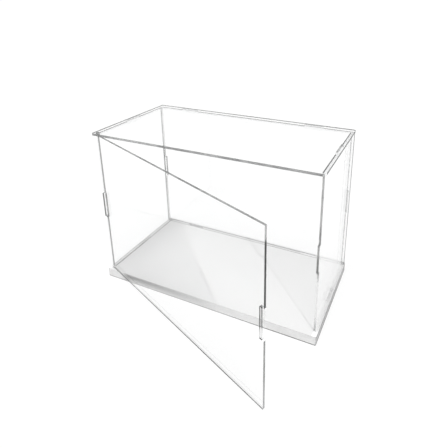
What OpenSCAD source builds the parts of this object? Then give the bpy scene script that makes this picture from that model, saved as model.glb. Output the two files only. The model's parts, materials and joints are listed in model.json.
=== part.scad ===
// Flat-pack display case: five clear sheet panels that lock together with
// tabs and slots on a thick white base board, and a clear door that turns on
// its own corner nubs. The origin is the centre of the base board's underside,
// +X is to the right seen from the door side, -Y is the door side, +Z is up.

/* [Base board] */
// Width of the base board, left to right
base_w = 300; // [240:5:400]
// Depth of the base board, front to back
base_d = 150; // [130:5:250]
// Thickness of the base board
base_t = 12; // [10:1:18]
// Depth of the pockets that hold the panels' bottom tabs
pocket_depth = 8; // [5:0.5:8]
// Radius of the base board's upright corners
base_corner_r = 1.5; // [0.5:0.5:4]

/* [Clear sheet] */
// Thickness of every clear panel
sheet = 3; // [2:0.5:4]
// Clear height between the base board and the top panel
clear_h = 197; // [120:1:300]
// How far the top panel's edges stay inside the base board's edges
top_inset = 0.5; // [0:0.5:1.5]
// Distance from the base board's side edge to a side panel's outer face
side_inset = 2.5; // [2.5:0.5:3.5]
// Distance from the base board's rear edge to the back panel's rear face
back_inset = 3.5; // [2.5:0.5:6]
// Radius of the top panel's corners
top_corner_r = 1.5; // [0.5:0.5:3]

/* [Tabs and slots] */
// Length of the tab in the middle of a side panel's top and bottom edges
side_tab = 28; // [16:1:40]
// Length of each tab on the back panel's top and bottom edges
back_tab = 26; // [16:1:40]
// Distance from the base board's side edge to the middle of a back tab
back_tab_x = 54; // [40:1:70]
// Length of the tab in the middle of a side panel's upright edges
upright_tab = 34; // [16:1:44]
// Gap left on every side of a tab in its slot
slot_gap = 0.1; // [0.05:0.05:0.3]

/* [Door] */
// Angle at which the door stands open
door_open = 21.5; // [0:0.5:100]
// Distance from the base board's left edge to the door's turning axis
hinge_x = 6; // [6:0.5:9]
// Distance from the base board's front edge to the door's turning axis
hinge_y = 5.5; // [5:0.5:8]
// Gap between a nub's corners and the round hole it turns in
nub_gap = 0.2; // [0.1:0.05:0.5]
// Gap between the door and the sheets above and below it
door_gap = 1; // [0.5:0.5:2]
// Distance from the door's free edge to the base board's right edge
door_end_gap = 0.5; // [0.5:0.5:3]
// Gap between the door's turning corners and the side panels' front edges
door_seat_gap = 0.2; // [0.2:0.1:1]
// Gap on each side of the latch tab in the door's slot
latch_gap = 0.2; // [0.15:0.05:0.5]

/* [Hidden] */
$fn = 64;

// Faces of the base board
x_left = -base_w / 2;
x_right = base_w / 2;
y_front = -base_d / 2;
y_back = base_d / 2;
z_deck = base_t;
z_lid = base_t + clear_h;

// Faces of the clear panels
side_out = x_right - side_inset;
side_in = side_out - sheet;
rear_out = y_back - back_inset;
rear_in = rear_out - sheet;

// Door axis, door faces when shut, and the side panels' front edges
ax = x_left + hinge_x;
ay = y_front + hinge_y;
swing_r = sheet * sqrt(2) / 2;
nub_hole_r = swing_r + nub_gap;
door_front = ay - sheet / 2;
side_front = ay + swing_r + door_seat_gap;
side_mid = (side_front + rear_in) / 2;
z_mid = z_deck + clear_h / 2;

// Door outline, measured along the door from its turning axis
door_s0 = -sheet / 2;
door_s1 = base_w - hinge_x - door_end_gap;
door_z0 = z_deck + door_gap;
door_z1 = z_lid - door_gap;
relief_s = 0.75 * sheet;
latch_s = side_out - sheet / 2 - ax;

clear_tint = [0.86, 0.90, 0.92, 0.35];

// Outline of a rectangle with round corners, centred on the origin
module round_plate(w, d, r) {
    square([w - 2 * r, d], center = true);
    square([w, d - 2 * r], center = true);
    for (sx = [-1, 1], sy = [-1, 1])
        translate([sx * (w / 2 - r), sy * (d / 2 - r)]) circle(r);
}

// Slot for one tab, centred on a point, with its gap all round
module slot(cx, cy, len_x, len_y, gap = slot_gap) {
    translate([cx, cy]) square([len_x + 2 * gap, len_y + 2 * gap], center = true);
}

// The four slots that hold the side panels' and back panel's tabs
module panel_slots() {
    for (s = [-1, 1]) {
        slot(s * (side_out - sheet / 2), side_mid, sheet, side_tab);
        slot(s * (base_w / 2 - back_tab_x), rear_out - sheet / 2, back_tab, sheet);
    }
}

module base_board() {
    color([0.95, 0.95, 0.94])
    difference() {
        linear_extrude(base_t) round_plate(base_w, base_d, base_corner_r);
        translate([0, 0, z_deck - pocket_depth]) linear_extrude(pocket_depth + 1) panel_slots();
        translate([ax, ay, z_deck - pocket_depth]) cylinder(h = pocket_depth + 1, r = nub_hole_r);
    }
}

// Side panel outline: first axis is front to back, second axis is up
function side_outline() = let (
    f = side_front, b = rear_in, lo = z_deck, hi = z_lid,
    a = side_tab / 2, u = upright_tab / 2)
    [[f, lo],
     [side_mid - a, lo], [side_mid - a, lo - pocket_depth], [side_mid + a, lo - pocket_depth], [side_mid + a, lo],
     [b, lo],
     [b, z_mid - u], [b + sheet, z_mid - u], [b + sheet, z_mid + u], [b, z_mid + u],
     [b, hi],
     [side_mid + a, hi], [side_mid + a, hi + sheet], [side_mid - a, hi + sheet], [side_mid - a, hi],
     [f, hi],
     [f, z_mid + u], [door_front, z_mid + u], [door_front, z_mid - u], [f, z_mid - u]];

module side_panel(x0) {
    color(clear_tint)
    translate([x0, 0, 0]) rotate([90, 0, 90]) linear_extrude(sheet) polygon(side_outline());
}

module left_side_panel() { side_panel(-side_out); }

module right_side_panel() { side_panel(side_in); }

// Back panel outline: first axis is left to right, second axis is up
function back_outline() = let (
    w = base_w / 2 - top_inset, lo = z_deck, hi = z_lid,
    t1 = base_w / 2 - back_tab_x - back_tab / 2, t2 = base_w / 2 - back_tab_x + back_tab / 2)
    [[-w, lo],
     [-t2, lo], [-t2, lo - pocket_depth], [-t1, lo - pocket_depth], [-t1, lo],
     [t1, lo], [t1, lo - pocket_depth], [t2, lo - pocket_depth], [t2, lo],
     [w, lo], [w, hi],
     [t2, hi], [t2, hi + sheet], [t1, hi + sheet], [t1, hi],
     [-t1, hi], [-t1, hi + sheet], [-t2, hi + sheet], [-t2, hi],
     [-w, hi]];

module back_panel() {
    color(clear_tint)
    translate([0, rear_out, 0]) rotate([90, 0, 0]) linear_extrude(sheet) difference() {
        polygon(back_outline());
        for (s = [-1, 1]) slot(s * (side_out - sheet / 2), z_mid, sheet, upright_tab);
    }
}

module top_panel() {
    color(clear_tint)
    translate([0, 0, z_lid]) difference() {
        linear_extrude(sheet) round_plate(base_w - 2 * top_inset, base_d - 2 * top_inset, top_corner_r);
        translate([0, 0, -1]) linear_extrude(sheet + 2) panel_slots();
        translate([ax, ay, -1]) cylinder(h = sheet + 2, r = nub_hole_r);
    }
}

// Door outline: first axis runs from the turning axis to the free edge, second axis is up.
// The nubs stand out above and below at the turning axis, and the step in the
// hinge edge clears the left side panel's upright tab at every angle.
function door_outline() = let (n = sheet / 2, u = upright_tab / 2 + 1)
    [[door_s0, door_z0],
     [-n, z_deck - pocket_depth], [n, z_deck - pocket_depth], [n, door_z0],
     [door_s1, door_z0], [door_s1, door_z1],
     [n, door_z1], [n, z_lid + sheet - 0.2], [-n, z_lid + sheet - 0.2],
     [door_s0, z_mid + u], [relief_s, z_mid + u], [relief_s, z_mid - u], [door_s0, z_mid - u]];

module door_panel() {
    color(clear_tint)
    translate([ax, ay, 0]) rotate([0, 0, -door_open])
    translate([0, sheet / 2, 0]) rotate([90, 0, 0]) linear_extrude(sheet) difference() {
        polygon(door_outline());
        slot(latch_s, z_mid, sheet, upright_tab, latch_gap);
    }
}

base_board();
left_side_panel();
right_side_panel();
back_panel();
top_panel();
door_panel();
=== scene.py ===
import json
import math

import bpy
from mathutils import Matrix, Vector


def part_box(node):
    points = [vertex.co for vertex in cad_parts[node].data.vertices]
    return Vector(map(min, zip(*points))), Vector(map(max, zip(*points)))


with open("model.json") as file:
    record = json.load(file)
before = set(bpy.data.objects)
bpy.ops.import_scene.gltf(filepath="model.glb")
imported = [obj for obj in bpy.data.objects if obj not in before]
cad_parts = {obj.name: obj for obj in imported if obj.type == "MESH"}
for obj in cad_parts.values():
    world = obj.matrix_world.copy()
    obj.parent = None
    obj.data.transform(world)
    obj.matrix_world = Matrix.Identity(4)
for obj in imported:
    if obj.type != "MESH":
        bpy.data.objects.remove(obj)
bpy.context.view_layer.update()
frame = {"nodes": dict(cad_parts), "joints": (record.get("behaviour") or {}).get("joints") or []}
nodes = frame["nodes"]

# The hinge line and the door's direction at rest, from the model itself
hinge = frame["joints"][0]["pos_m"]
hinge_xy = Vector((hinge[0], hinge[1], 0.0))
open_deg = -frame["joints"][0]["range_deg"][0]
door_dir = Vector((math.cos(math.radians(open_deg)), -math.sin(math.radians(open_deg)), 0.0))
door_normal = Vector((-door_dir.y, door_dir.x, 0.0))


# ---------------------------------------------------------------- node helpers
class Tree:
    """A material's node tree with short calls for the nodes used here."""

    def __init__(self, name):
        self.mat = bpy.data.materials.new(name)
        self.mat.use_nodes = True
        self.nt = self.mat.node_tree
        self.nt.nodes.clear()
        self.out = self.nt.nodes.new("ShaderNodeOutputMaterial")
        self.coord = self.nt.nodes.new("ShaderNodeTexCoord")

    def put(self, socket, value):
        if isinstance(value, bpy.types.NodeSocket):
            self.nt.links.new(value, socket)
        else:
            socket.default_value = value

    def math(self, op, a, b=None, c=None, clamp=False):
        n = self.nt.nodes.new("ShaderNodeMath")
        n.operation = op
        n.use_clamp = clamp
        for i, v in enumerate((a, b, c)):
            if v is not None:
                self.put(n.inputs[i], v)
        return n.outputs[0]

    def vec(self, op, a, b=None):
        n = self.nt.nodes.new("ShaderNodeVectorMath")
        n.operation = op
        self.put(n.inputs[0], a)
        if b is not None:
            self.put(n.inputs[1], b)
        return n.outputs["Value"] if op == "DOT_PRODUCT" else n.outputs[0]

    def map(self, v, a, b, c, d, smooth=False):
        n = self.nt.nodes.new("ShaderNodeMapRange")
        n.interpolation_type = "SMOOTHSTEP" if smooth else "LINEAR"
        n.clamp = True
        self.put(n.inputs["Value"], v)
        for k, x in zip(("From Min", "From Max", "To Min", "To Max"), (a, b, c, d)):
            self.put(n.inputs[k], x)
        return n.outputs[0]

    def split(self, vector):
        n = self.nt.nodes.new("ShaderNodeSeparateXYZ")
        self.put(n.inputs[0], vector)
        return n.outputs[0], n.outputs[1], n.outputs[2]

    def lerp(self, fac, a, b):
        n = self.nt.nodes.new("ShaderNodeMix")
        n.data_type = "FLOAT"
        self.put(n.inputs[0], fac)
        self.put(n.inputs[2], a)
        self.put(n.inputs[3], b)
        return n.outputs[0]

    def step(self, v, at, soft):
        """0 below at, 1 above it, with a soft edge this wide."""
        return self.map(v, at - soft, at + soft, 0.0, 1.0, True)

    def noise(self, scale, detail=3.0, rough=0.5, vector=None, distortion=0.0):
        n = self.nt.nodes.new("ShaderNodeTexNoise")
        self.put(n.inputs["Vector"], vector or self.coord.outputs["Object"])
        n.inputs["Scale"].default_value = scale
        n.inputs["Detail"].default_value = detail
        n.inputs["Roughness"].default_value = rough
        n.inputs["Distortion"].default_value = distortion
        return n.outputs["Fac"]

    def scaled(self, sx, sy, sz):
        n = self.nt.nodes.new("ShaderNodeMapping")
        self.put(n.inputs["Vector"], self.coord.outputs["Object"])
        n.inputs["Scale"].default_value = (sx, sy, sz)
        return n.outputs[0]

    def mix(self, fac, a, b):
        n = self.nt.nodes.new("ShaderNodeMix")
        n.data_type = "RGBA"
        self.put(n.inputs[0], fac)
        self.put(n.inputs[6], a)
        self.put(n.inputs[7], b)
        return n.outputs[2]

    def grey(self, v, tint=(1.0, 1.0, 1.0)):
        n = self.nt.nodes.new("ShaderNodeCombineColor")
        for i in range(3):
            self.put(n.inputs[i], self.math("MULTIPLY", v, tint[i]))
        return n.outputs[0]

    def bump(self, height, strength, distance):
        n = self.nt.nodes.new("ShaderNodeBump")
        n.inputs["Strength"].default_value = strength
        n.inputs["Distance"].default_value = distance
        self.put(n.inputs["Height"], height)
        return n.outputs[0]

    def shader(self, kind, **sockets):
        n = self.nt.nodes.new(kind)
        for k, v in sockets.items():
            self.put(n.inputs[k.replace("_", " ")], v)
        return n.outputs[0]

    def mix_shader(self, fac, a, b):
        n = self.nt.nodes.new("ShaderNodeMixShader")
        self.put(n.inputs[0], fac)
        self.put(n.inputs[1], a)
        self.put(n.inputs[2], b)
        return n.outputs[0]

    def surface(self, socket):
        self.nt.links.new(socket, self.out.inputs["Surface"])
        return self.mat


# ------------------------------------------------------------------- materials
SHEET = 0.003  # thickness of the clear sheet


def clear_acrylic(name, face, mid, tones, seed=0.0, dark=0.30, joints=None, wide=0.38):
    """Cast clear sheet with polished faces and satin laser-cut edges.

    face is the sheet's normal and mid the distance of its middle plane along it.
    tones(t, nrm, x, y, z) gives three numbers, 0 to 1: how grey a cut edge is along
    its middle, at its arris on the side that face points to, and at its other
    arris. dark is the deepest grey, wide where the arris lines start, and joints
    gives how dark the polished faces are along the lines where other sheets meet."""
    t = Tree(name)
    obj, nrm = t.coord.outputs["Object"], t.coord.outputs["Normal"]
    across = t.math("ABSOLUTE", t.vec("DOT_PRODUCT", nrm, tuple(face)))
    edge = t.math("LESS_THAN", across, 0.6)

    # polished faces: clear, with what a sheet mirrors at each angle
    lw = t.nt.nodes.new("ShaderNodeLayerWeight")
    lw.inputs["Blend"].default_value = 0.5
    schlick = t.math("MULTIPLY_ADD", t.math("POWER", lw.outputs["Facing"], 5.0), 0.96, 0.039)
    haze = t.noise(9.0, 4.0, 0.6)
    face_rough = t.map(haze, 0.35, 0.7, 0.012, 0.045)
    waves = t.bump(t.noise(14.0, 1.0, 0.4), 0.05, 0.0006)
    clear = t.shader("ShaderNodeBsdfTransparent", Color=(0.995, 0.996, 0.996, 1.0))
    mirror = t.shader("ShaderNodeBsdfGlossy", Color=(1.0, 1.0, 1.0, 1.0), Roughness=face_rough, Normal=waves)
    sheet = t.mix_shader(schlick, clear, mirror)
    if joints:  # where the other sheets meet this one
        # painted shade: a dark grey is painted on the polished faces along the lines where the other sheets meet
        # this one
        ink = t.math("MULTIPLY", joints(t, nrm, *t.split(obj)), t.map(t.noise(60.0, 2.0), 0.3, 0.7, 0.88, 1.0))
        joint_shade_grey = t.grey(t.map(t.noise(240.0, 2.0), 0.3, 0.7, 0.06, 0.11))
        sheet = t.mix_shader(ink, sheet, t.shader("ShaderNodeBsdfDiffuse", Color=joint_shade_grey))

    # cut edges: painted light and shade where light leaves a sheet, grey or pale at its two arrises and along a
    # band between them, over the satin cut's own tone, with score lines and slow changes of tone
    depth = t.math("SUBTRACT", t.vec("DOT_PRODUCT", obj, tuple(face)), mid)
    depth = t.math("MULTIPLY", depth, 2.0 / SHEET)
    size = t.math("ABSOLUTE", depth)
    rim = t.map(size, wide, wide + 0.20, 0.0, 1.0, True)
    band = t.map(size, 0.66, 0.90, 1.0, 0.0, True)
    core, outer, inner = tones(t, nrm, *t.split(obj))
    side = t.math("GREATER_THAN", depth, 0.0)
    density = t.math("MAXIMUM", t.math("MULTIPLY", core, band), t.math("MULTIPLY", t.lerp(side, inner, outer), rim))
    shifted = t.vec("ADD", obj, (seed, seed * 1.7, seed * 0.6))
    slow = t.map(t.noise(26.0, 3.0, 0.55, shifted), 0.3, 0.7, 0.86, 1.12)
    fine = t.map(t.noise(900.0, 1.0, 0.4, shifted), 0.3, 0.7, 0.94, 1.06)
    density = t.math("MULTIPLY", density, t.math("MULTIPLY", slow, fine), clamp=True)
    value = t.map(density, 0.0, 1.0, 0.80, dark)
    solid = t.map(density, 0.0, 1.0, 0.03, 0.95)
    if face.z > 0.5:  # score lines run up through the thickness
        scores = t.noise(1.0, 2.0, 0.5, t.scaled(1500.0, 1500.0, 40.0))
    elif abs(face.x) > 0.9:
        scores = t.noise(1.0, 2.0, 0.5, t.scaled(40.0, 1500.0, 1500.0))
    else:
        scores = t.noise(1.0, 2.0, 0.5, t.scaled(1500.0, 40.0, 1500.0))
    cut = t.shader(
        "ShaderNodeBsdfPrincipled",
        Base_Color=t.grey(value, (0.99, 1.0, 1.0)),
        Roughness=t.map(scores, 0.3, 0.7, 0.30, 0.50),
        IOR=1.49,
        Specular_IOR_Level=0.12,
        Alpha=solid,
        Normal=t.bump(scores, 0.35, 0.00006),
    )
    return t.surface(t.mix_shader(edge, sheet, cut))


def facing(t, nrm, way, low=0.6, high=0.8):
    """1 on faces that face this way."""
    return t.map(t.vec("DOT_PRODUCT", nrm, tuple(way)), low, high, 0.0, 1.0)


def lies(t, nrm, way):
    """1 on faces square to this direction, seen from either side."""
    return t.map(t.math("ABSOLUTE", t.vec("DOT_PRODUCT", nrm, tuple(way))), 0.6, 0.8, 0.0, 1.0)


def top_most(t, *values):
    out = values[0]
    for v in values[1:]:
        out = t.math("MAXIMUM", out, v)
    return out


def times(t, *values):
    out = values[0]
    for v in values[1:]:
        out = t.math("MULTIPLY", out, v)
    return out


def painted_foot_shade(t, x, y):
    """Painted shade: how dark the board's top is painted beside the feet of the panels, where they meet it."""

    def line(v, at, half):
        return t.map(t.math("ABSOLUTE", t.math("SUBTRACT", v, at)), half, half + 0.00035, 1.0, 0.0, True)

    wide = t.map(t.math("ABSOLUTE", x), 0.1482, 0.1486, 1.0, 0.0)
    deep = times(t, t.map(y, -0.0676, -0.0672, 0.0, 1.0), t.map(y, 0.0726, 0.0730, 1.0, 0.0))
    near = t.map(y, -0.010, 0.016, 1.0, 0.0, True)
    left = top_most(t, times(t, line(x, -0.1482, 0.00050), 0.72), times(t, line(x, -0.1437, 0.00065), t.lerp(near, 0.55, 0.95)))
    right = times(t, line(x, 0.1445, 0.0002), 0.10)
    fade = t.map(x, -0.08, 0.10, 0.55, 0.42)
    back = top_most(t, times(t, line(y, 0.0721, 0.0007), fade), times(t, line(y, 0.0677, 0.0006), fade, 0.8))
    return top_most(t, times(t, top_most(t, left, right), deep), times(t, back, wide))


def below_lid(t, up, z):
    """The sides of a tab are faint inside the lid and clear inside the board."""
    lid = t.math("MAXIMUM", t.map(z, 0.2092, 0.2094, 1.0, 0.16), times(t, up, 0.9))
    return times(t, t.step(z, 0.0117, 0.0001), lid)


def left_tones(t, nrm, x, y, z):
    upright, level = lies(t, nrm, Y), lies(t, nrm, Z)
    back = t.step(y, 0.0, 0.001)
    up = times(t, level, t.step(z, 0.2, 0.001), t.step(z, 0.2105, 0.0001))
    jog = times(t, level, t.step(z, 0.05, 0.001), t.map(z, 0.18, 0.181, 1.0, 0.0), t.lerp(back, 0.8, 0.1))
    core = top_most(t, times(t, upright, t.lerp(back, 1.1, 0.80)), times(t, up, 0.55), jog)
    inside = top_most(t, times(t, upright, t.lerp(back, 0.60, 0.10)), times(t, up, 0.9))
    outside = top_most(t, times(t, upright, t.lerp(back, 0.60, 0.10)), times(t, up, 0.7))
    keep = below_lid(t, up, z)
    return times(t, core, keep), times(t, inside, keep), times(t, outside, keep)


def right_tones(t, nrm, x, y, z):
    upright, level = lies(t, nrm, Y), lies(t, nrm, Z)
    back = t.step(y, 0.0, 0.001)
    up = times(t, level, t.step(z, 0.2, 0.001))
    # the front edge is grey above its tab, darkest on it, pale below and grey at the foot
    tall = times(t, t.step(z, 0.0932, 0.0006), t.map(z, 0.118, 0.098, 0.86, 1.2, True))
    neck = t.map(z, 0.066, 0.0935, 0.0, 0.80, True)
    foot = t.map(z, 0.046, 0.016, 0.0, 0.80, True)
    strip = top_most(t, tall, neck, foot, 0.30)
    jog = times(t, level, t.step(z, 0.05, 0.001), t.map(z, 0.18, 0.181, 1.0, 0.0), t.lerp(back, 1.0, 0.1))
    core = top_most(t, times(t, upright, t.lerp(back, strip, 0.80)), times(t, up, t.map(z, 0.2104, 0.2106, 0.25, 0.85)), jog)
    outside = top_most(t, times(t, upright, t.lerp(back, 0.18, 0.05)), times(t, up, 0.30))
    inside = top_most(t, times(t, upright, t.lerp(back, 0.18, 0.35)), times(t, up, 1.0))
    keep = below_lid(t, up, z)
    return times(t, core, keep), times(t, outside, keep), times(t, inside, keep)


def back_tones(t, nrm, x, y, z):
    level = lies(t, nrm, Z)
    outer = t.step(t.math("ABSOLUTE", x), 0.1488, 0.0001)
    end = times(t, lies(t, nrm, X), t.lerp(outer, 0.10, 0.95))
    tab = times(t, level, t.step(z, 0.2105, 0.0001))
    core = top_most(t, end, times(t, tab, 0.6))
    rear = top_most(t, end, times(t, tab, 0.9), times(t, level, 0.06))
    inside = top_most(t, end, times(t, tab, 0.9), times(t, level, 0.06))
    keep = below_lid(t, tab, z)
    return times(t, core, keep), times(t, rear, keep), times(t, inside, keep)


def top_tones(t, nrm, x, y, z):
    left, right, front = t.map(x, -0.1488, -0.1486, 1.0, 0.0), t.step(x, 0.1487, 0.0001), t.map(y, -0.0737, -0.0735, 1.0, 0.0)
    # the right front corner is clear
    corner = t.lerp(times(t, t.step(x, 0.1470, 0.0006), t.map(y, -0.069, -0.071, 0.0, 1.0)), 1.0, 0.12)
    rim = top_most(t, t.step(t.math("ABSOLUTE", x), 0.1479, 0.0001), t.step(t.math("ABSOLUTE", y), 0.0729, 0.0001))
    # the round hole for the door's nub shows as a dark ring
    dx, dy = t.math("SUBTRACT", x, hinge[0]), t.math("SUBTRACT", y, hinge[1])
    ring = t.math("LESS_THAN", t.math("ADD", times(t, dx, dx), times(t, dy, dy)), 0.0028 * 0.0028)
    core = times(t, rim, corner, top_most(t, times(t, front, 0.88), times(t, right, 1.1), 0.02))
    above = times(t, corner, t.lerp(left, t.lerp(right, t.lerp(front, 1.0, 0.86), 0.45), 1.2))
    below = times(t, corner, t.lerp(left, t.lerp(right, t.lerp(front, 0.04, 0.88), 1.2), 0.04))
    hole = times(t, ring, 0.85)
    return (
        top_most(t, core, times(t, hole, 0.8)),
        top_most(t, t.lerp(rim, 0.22, above), hole),
        top_most(t, t.lerp(rim, 0.16, below), hole),
    )


def back_joints(t, nrm, x, y, z):
    """The upright line that the back panel's right edge shows through its face."""
    return times(t, t.step(x, 0.1489, 0.0001), t.math("LESS_THAN", y, 0.0700), 0.60)


def top_joints(t, nrm, x, y, z):
    """Lines under the lid, beside the top edges of the side and back panels."""
    below = times(t, lies(t, nrm, Z), t.math("LESS_THAN", z, 0.2095))
    soft = 0.0002
    left = times(t, t.step(x, -0.1493, soft), t.map(x, -0.1468 - soft, -0.1468 + soft, 1.0, 0.0))
    right = times(t, t.step(x, 0.1438, soft), t.map(x, 0.1452 - soft, 0.1452 + soft, 1.0, 0.0))
    rear = times(t, t.step(y, 0.0704, soft), t.map(y, 0.0738 - soft, 0.0738 + soft, 1.0, 0.0))
    deep = times(t, t.step(y, -0.0655, 0.001), t.map(y, 0.0735, 0.0738, 1.0, 0.0))
    wide = t.map(t.math("ABSOLUTE", x), 0.1488, 0.1491, 1.0, 0.0)
    return times(t, below, top_most(t, times(t, left, deep, 0.95), times(t, right, deep, 0.95), times(t, rear, wide, 0.85)))


def door_tones(t, nrm, x, y, z):
    # distance along the leaf from the hinge line
    s = t.math("SUBTRACT", t.vec("DOT_PRODUCT", t.coord.outputs["Object"], tuple(door_dir)), hinge_xy.dot(door_dir))
    free, hung = facing(t, nrm, door_dir), times(t, lies(t, nrm, door_dir), t.math("LESS_THAN", s, 0.01))
    level = lies(t, nrm, Z)
    flat, under = times(t, level, t.step(z, 0.12, 0.02)), times(t, level, t.map(z, 0.10, 0.14, 1.0, 0.0))
    outer = t.step(s, 0.2925, 0.0002)
    # the latch slot cuts off the light that the sheet pipes to its free edge
    upper = times(t, t.step(z, 0.1278, 0.0006), t.map(z, 0.186, 0.198, 1.3, 0.80, True))
    lower = t.map(z, 0.0922, 0.0934, 0.86, 0.0, True)
    strip = top_most(t, upper, lower, 0.07)
    edge = times(t, free, outer, strip)
    lip = times(t, edge, 0.22)
    # the slot's outlines
    slot = times(t, t.step(s, 0.285, 0.0002), t.math("SUBTRACT", 1.0, outer))
    mid = t.math("LESS_THAN", t.math("ABSOLUTE", t.math("SUBTRACT", z, 0.1105)), 0.03)
    slot = times(t, slot, mid, t.map(z, 0.099, 0.108, 0.50, 1.0, True))
    # the step in the hinge edge
    step = times(t, hung, t.math("LESS_THAN", t.math("ABSOLUTE", t.math("SUBTRACT", z, 0.1105)), 0.0175))
    core = top_most(t, edge, times(t, flat, 0.86), times(t, under, 0.28), times(t, step, 0.90), times(t, slot, top_most(t, flat, under), 0.8))
    lean = top_most(t, lip, times(t, flat, 0.34), times(t, hung, 0.14))
    far = t.step(s, 0.290, 0.0003)
    rear = top_most(t, lean, times(t, slot, t.lerp(free, 0.12, t.lerp(far, 1.2, 0.35))))
    ahead = top_most(t, lean, times(t, under, 1.05), times(t, slot, t.lerp(free, 1.0, t.lerp(far, 1.2, 0.75))))
    return core, rear, ahead


def white_board(name):
    """White board: smooth satin top skin and duller mottled cut sides, with painted shade on the sides and painted
    glow in the pockets and underside.
    """
    t = Tree(name)
    obj, nrm = t.coord.outputs["Object"], t.coord.outputs["Normal"]
    x, y, z = t.split(obj)
    up = t.math("GREATER_THAN", t.math("ABSOLUTE", t.vec("DOT_PRODUCT", nrm, (0.0, 0.0, 1.0))), 0.5)
    ends = t.math("ABSOLUTE", t.vec("DOT_PRODUCT", nrm, (1.0, 0.0, 0.0)))
    front = facing(t, nrm, -Y)
    broad = t.map(t.noise(7.0, 3.0, 0.55), 0.3, 0.7, 0.985, 1.01)
    grain = t.map(t.noise(1400.0, 2.0, 0.5), 0.3, 0.7, 0.985, 1.01)
    # painted shade: the deck inside the panels is painted greyer than the margin outside them, for the light the
    # sheets take away
    inside = times(
        t,
        t.map(t.math("ABSOLUTE", x), 0.1450, 0.1462, 1.0, 0.0, True),
        t.map(y, 0.0680, 0.0690, 1.0, 0.0, True),
    )
    top = times(t, broad, grain, t.lerp(inside, 0.985, 0.885), t.math("SUBTRACT", 1.0, painted_foot_shade(t, x, y)))
    blot = t.map(t.noise(1.0, 5.0, 0.65, t.scaled(38.0, 38.0, 120.0)), 0.32, 0.68, 0.93, 1.05)
    fibre = t.map(t.noise(1.0, 3.0, 0.6, t.scaled(420.0, 420.0, 1500.0)), 0.3, 0.7, 0.94, 1.05)
    # painted shade: the sides are dark at the foot, where the board meets the floor, darker towards the right; a
    # fine darker line at the top
    foot = times(t, t.map(z, 0.0006, 0.0016, 1.0, 0.0, True), t.map(x, 0.02, 0.06, 0.62, 0.88))
    head = t.map(z, 0.0112, 0.0118, 0.0, 0.10, True)
    # painted shadow: the front side is painted darker under its top edge where the open door shades it, most of all
    # at the left
    painted_door_shadow = t.math("MULTIPLY", t.map(x, -0.125, 0.010, 1.04, 0.04), t.map(x, 0.008, 0.020, 1.0, 0.0, True))
    painted_door_shadow = t.math("MULTIPLY", painted_door_shadow, t.map(x, -0.129, -0.114, 0.0, 1.0, True))
    painted_door_shadow = times(t, painted_door_shadow, t.map(z, 0.001, 0.0085, 0.08, 1.0), t.map(z, 0.0095, 0.0110, 1.0, 0.72))
    painted_door_shadow = t.math("MULTIPLY", painted_door_shadow, front)
    shade = t.math("SUBTRACT", 1.0, t.math("MAXIMUM", t.math("MAXIMUM", foot, head), painted_door_shadow))
    # painted shade: the short sides are painted much greyer than the front, as they get less light, with a paler
    # band along their middle
    streak = t.map(t.math("ABSOLUTE", t.math("SUBTRACT", z, 0.0058)), 0.0008, 0.0024, 1.28, 1.0, True)
    tone = t.lerp(ends, 0.71, t.math("MULTIPLY", streak, 0.385))
    side = t.math("MULTIPLY", t.math("MULTIPLY", blot, fibre), tone)
    side = t.math("MULTIPLY", side, shade)
    value = t.mix(up, t.grey(side, (1.0, 0.998, 0.995)), t.grey(top, (1.0, 1.0, 0.998)))
    peel = t.noise(520.0, 2.0, 0.5)
    rough_cut = t.noise(1.0, 4.0, 0.6, t.scaled(300.0, 300.0, 900.0))
    height = t.mix(up, t.grey(rough_cut), t.grey(t.math("MULTIPLY", peel, 0.25)))
    smudge = t.map(t.noise(11.0, 4.0, 0.6), 0.35, 0.7, 0.30, 0.46)
    rough = t.math("ADD", smudge, t.map(up, 0.0, 1.0, 0.22, 0.0))
    # painted light: the pockets inside the board glow, standing in for light soaking through the white board into
    # them
    painted_pocket_glow = times(t, t.math("LESS_THAN", z, 0.01195), t.math("LESS_THAN", t.math("ABSOLUTE", x), 0.1485))
    painted_pocket_glow = times(t, painted_pocket_glow, t.math("LESS_THAN", t.math("ABSOLUTE", y), 0.0735), t.math("GREATER_THAN", z, 0.0035))
    # painted light: a strip of the deck under the right panel's foot glows faintly
    strip = times(t, up, t.math("GREATER_THAN", z, 0.0119), t.math("LESS_THAN", t.math("ABSOLUTE", t.math("SUBTRACT", x, 0.1460)), 0.0016))
    # painted light: the board's underside glows
    painted_sole_glow = times(t, lies(t, nrm, Z), t.math("LESS_THAN", z, 0.0005))
    return t.surface(
        t.shader(
            "ShaderNodeBsdfPrincipled",
            Base_Color=value,
            Roughness=rough,
            IOR=1.46,
            Normal=t.bump(height, 0.25, 0.00012),
            Emission_Color=(1.0, 1.0, 1.0, 1.0),
            Emission_Strength=top_most(t, times(t, painted_pocket_glow, 0.28), times(t, painted_sole_glow, 0.80), times(t, strip, 0.12)),
        )
    )


def floor_paper(name):
    """Seamless white paper. Seen directly, it is lifted so that shadows stay faint."""
    t = Tree(name)
    tone = t.map(t.noise(1.6, 2.0, 0.5), 0.3, 0.7, 0.99, 1.01)
    path = t.nt.nodes.new("ShaderNodeLightPath")
    bounce = path.outputs["Is Diffuse Ray"]
    albedo = t.math("MULTIPLY", tone, t.map(bounce, 0.0, 1.0, 0.16, 0.80))
    paper = t.shader("ShaderNodeBsdfPrincipled", Base_Color=t.grey(albedo), Roughness=0.9, Specular_IOR_Level=0.0)
    lift = t.shader("ShaderNodeEmission", Strength=t.map(bounce, 0.0, 1.0, 0.87, 0.0))
    n = t.nt.nodes.new("ShaderNodeAddShader")
    t.put(n.inputs[0], paper)
    t.put(n.inputs[1], lift)
    return t.surface(n.outputs[0])


X, Y, Z = Vector((1, 0, 0)), Vector((0, 1, 0)), Vector((0, 0, 1))


def middle(node, axis):
    lo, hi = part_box(node)
    return 0.5 * (lo[axis] + hi[axis])


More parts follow.
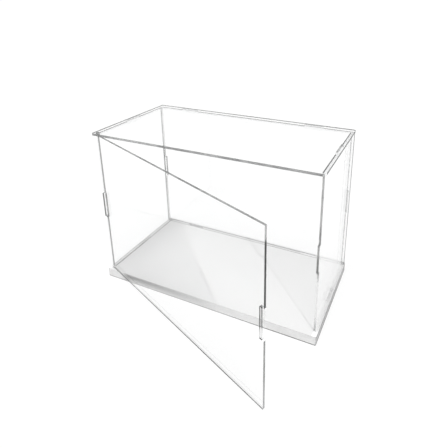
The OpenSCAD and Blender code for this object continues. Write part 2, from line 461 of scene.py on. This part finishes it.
looks = {
    "base_board": white_board("white_board"),
    "left_side_panel": clear_acrylic("clear_left", X, middle("left_side_panel", 0), left_tones, 0.11, 0.16),
    "right_side_panel": clear_acrylic("clear_right", X, middle("right_side_panel", 0), right_tones, 0.23, 0.18),
    "back_panel": clear_acrylic("clear_back", Y, middle("back_panel", 1), back_tones, 0.37, 0.24, back_joints),
    "top_panel": clear_acrylic("clear_top", Z, middle("top_panel", 2), top_tones, 0.53, 0.14, top_joints, 0.0),
    "door_panel": clear_acrylic("clear_door", door_normal, hinge_xy.dot(door_normal), door_tones, 0.71, 0.03, None, 0.20),
}
for name, mat in looks.items():
    node = nodes[name]
    if not node.material_slots:
        node.data.materials.append(mat)
    for s in node.material_slots:
        s.material = mat

# ----------------------------------------------------------------------- stage
floor_mesh = bpy.data.meshes.new("floor")
ring = [(40.0 * math.cos(a * math.tau / 96), 40.0 * math.sin(a * math.tau / 96), 0.0) for a in range(96)]
floor_mesh.from_pydata(ring, [], [list(range(96))])
floor = bpy.data.objects.new("floor", floor_mesh)
bpy.context.scene.collection.objects.link(floor)
floor_mesh.materials.append(floor_paper("floor_paper"))

world = bpy.data.worlds.new("studio")
bpy.context.scene.world = world
world.use_nodes = True
wn = world.node_tree
wn.nodes.clear()
w_out = wn.nodes.new("ShaderNodeOutputWorld")
w_bg = wn.nodes.new("ShaderNodeBackground")
w_path = wn.nodes.new("ShaderNodeLightPath")
w_map = wn.nodes.new("ShaderNodeMapRange")
w_map.inputs["To Min"].default_value = 1.035
w_map.inputs["To Max"].default_value = 0.42
wn.links.new(w_path.outputs["Is Diffuse Ray"], w_map.inputs["Value"])
wn.links.new(w_map.outputs[0], w_bg.inputs["Strength"])
w_bg.inputs["Color"].default_value = (1.0, 1.0, 1.0, 1.0)
wn.links.new(w_bg.outputs[0], w_out.inputs["Surface"])


def sun(name, travel, strength, angle_deg):
    data = bpy.data.lights.new(name, "SUN")
    data.energy = strength
    data.angle = math.radians(angle_deg)
    ob = bpy.data.objects.new(name, data)
    ob.rotation_euler = Vector(travel).to_track_quat("-Z", "Y").to_euler()
    bpy.context.scene.collection.objects.link(ob)
    return ob


def travel(dx, dy, elevation):
    e = math.radians(elevation)
    d = Vector((dx, dy, 0.0)).normalized() * math.cos(e)
    return (d.x, d.y, -math.sin(e))


def level(share, elevation):
    """Sun strength that gives a level surface this share of unit brightness."""
    return share * math.pi / math.sin(math.radians(elevation))


sun("key_top", travel(0.25, 0.35, 74), level(0.40, 74), 24)
sun("rake_right", travel(-0.717, 0.697, 28), level(0.27, 28), 1.4)

# ---------------------------------------------------------------------- camera
cam_data = bpy.data.cameras.new("camera")
cam = bpy.data.objects.new("camera", cam_data)
bpy.context.scene.collection.objects.link(cam)
bpy.context.scene.camera = cam
az, pitch, roll = math.radians(-24.41), math.radians(-18.59), math.radians(-0.04)
fw = Vector((math.sin(az) * math.cos(pitch), math.cos(az) * math.cos(pitch), math.sin(pitch)))
right = fw.cross(Z).normalized()
up = right.cross(fw)
r2 = right * math.cos(roll) + up * math.sin(roll)
u2 = up * math.cos(roll) - right * math.sin(roll)
place = Vector((0.2359, -0.4404, 0.3816))
cam.matrix_world = Matrix(
    (
        (r2.x, u2.x, -fw.x, place.x),
        (r2.y, u2.y, -fw.y, place.y),
        (r2.z, u2.z, -fw.z, place.z),
        (0, 0, 0, 1),
    )
)
cam_data.sensor_width = 36.0
cam_data.lens = 416.2 / 448 * 36
cam_data.shift_x = (224 - 251) / 448
cam_data.shift_y = (130 - 224) / 448
cam_data.clip_start, cam_data.clip_end = 0.01, 100.0

scene = bpy.context.scene
scene.view_settings.view_transform = "Standard"
scene.view_settings.look = "None"
scene.view_settings.exposure = 0.0
scene.view_settings.gamma = 1.0
scene.cycles.max_bounces = 24
scene.cycles.diffuse_bounces = 6
scene.cycles.glossy_bounces = 6
scene.cycles.transparent_max_bounces = 64
scene.cycles.caustics_reflective = False
scene.cycles.caustics_refractive = False
scene.cycles.use_denoising = True
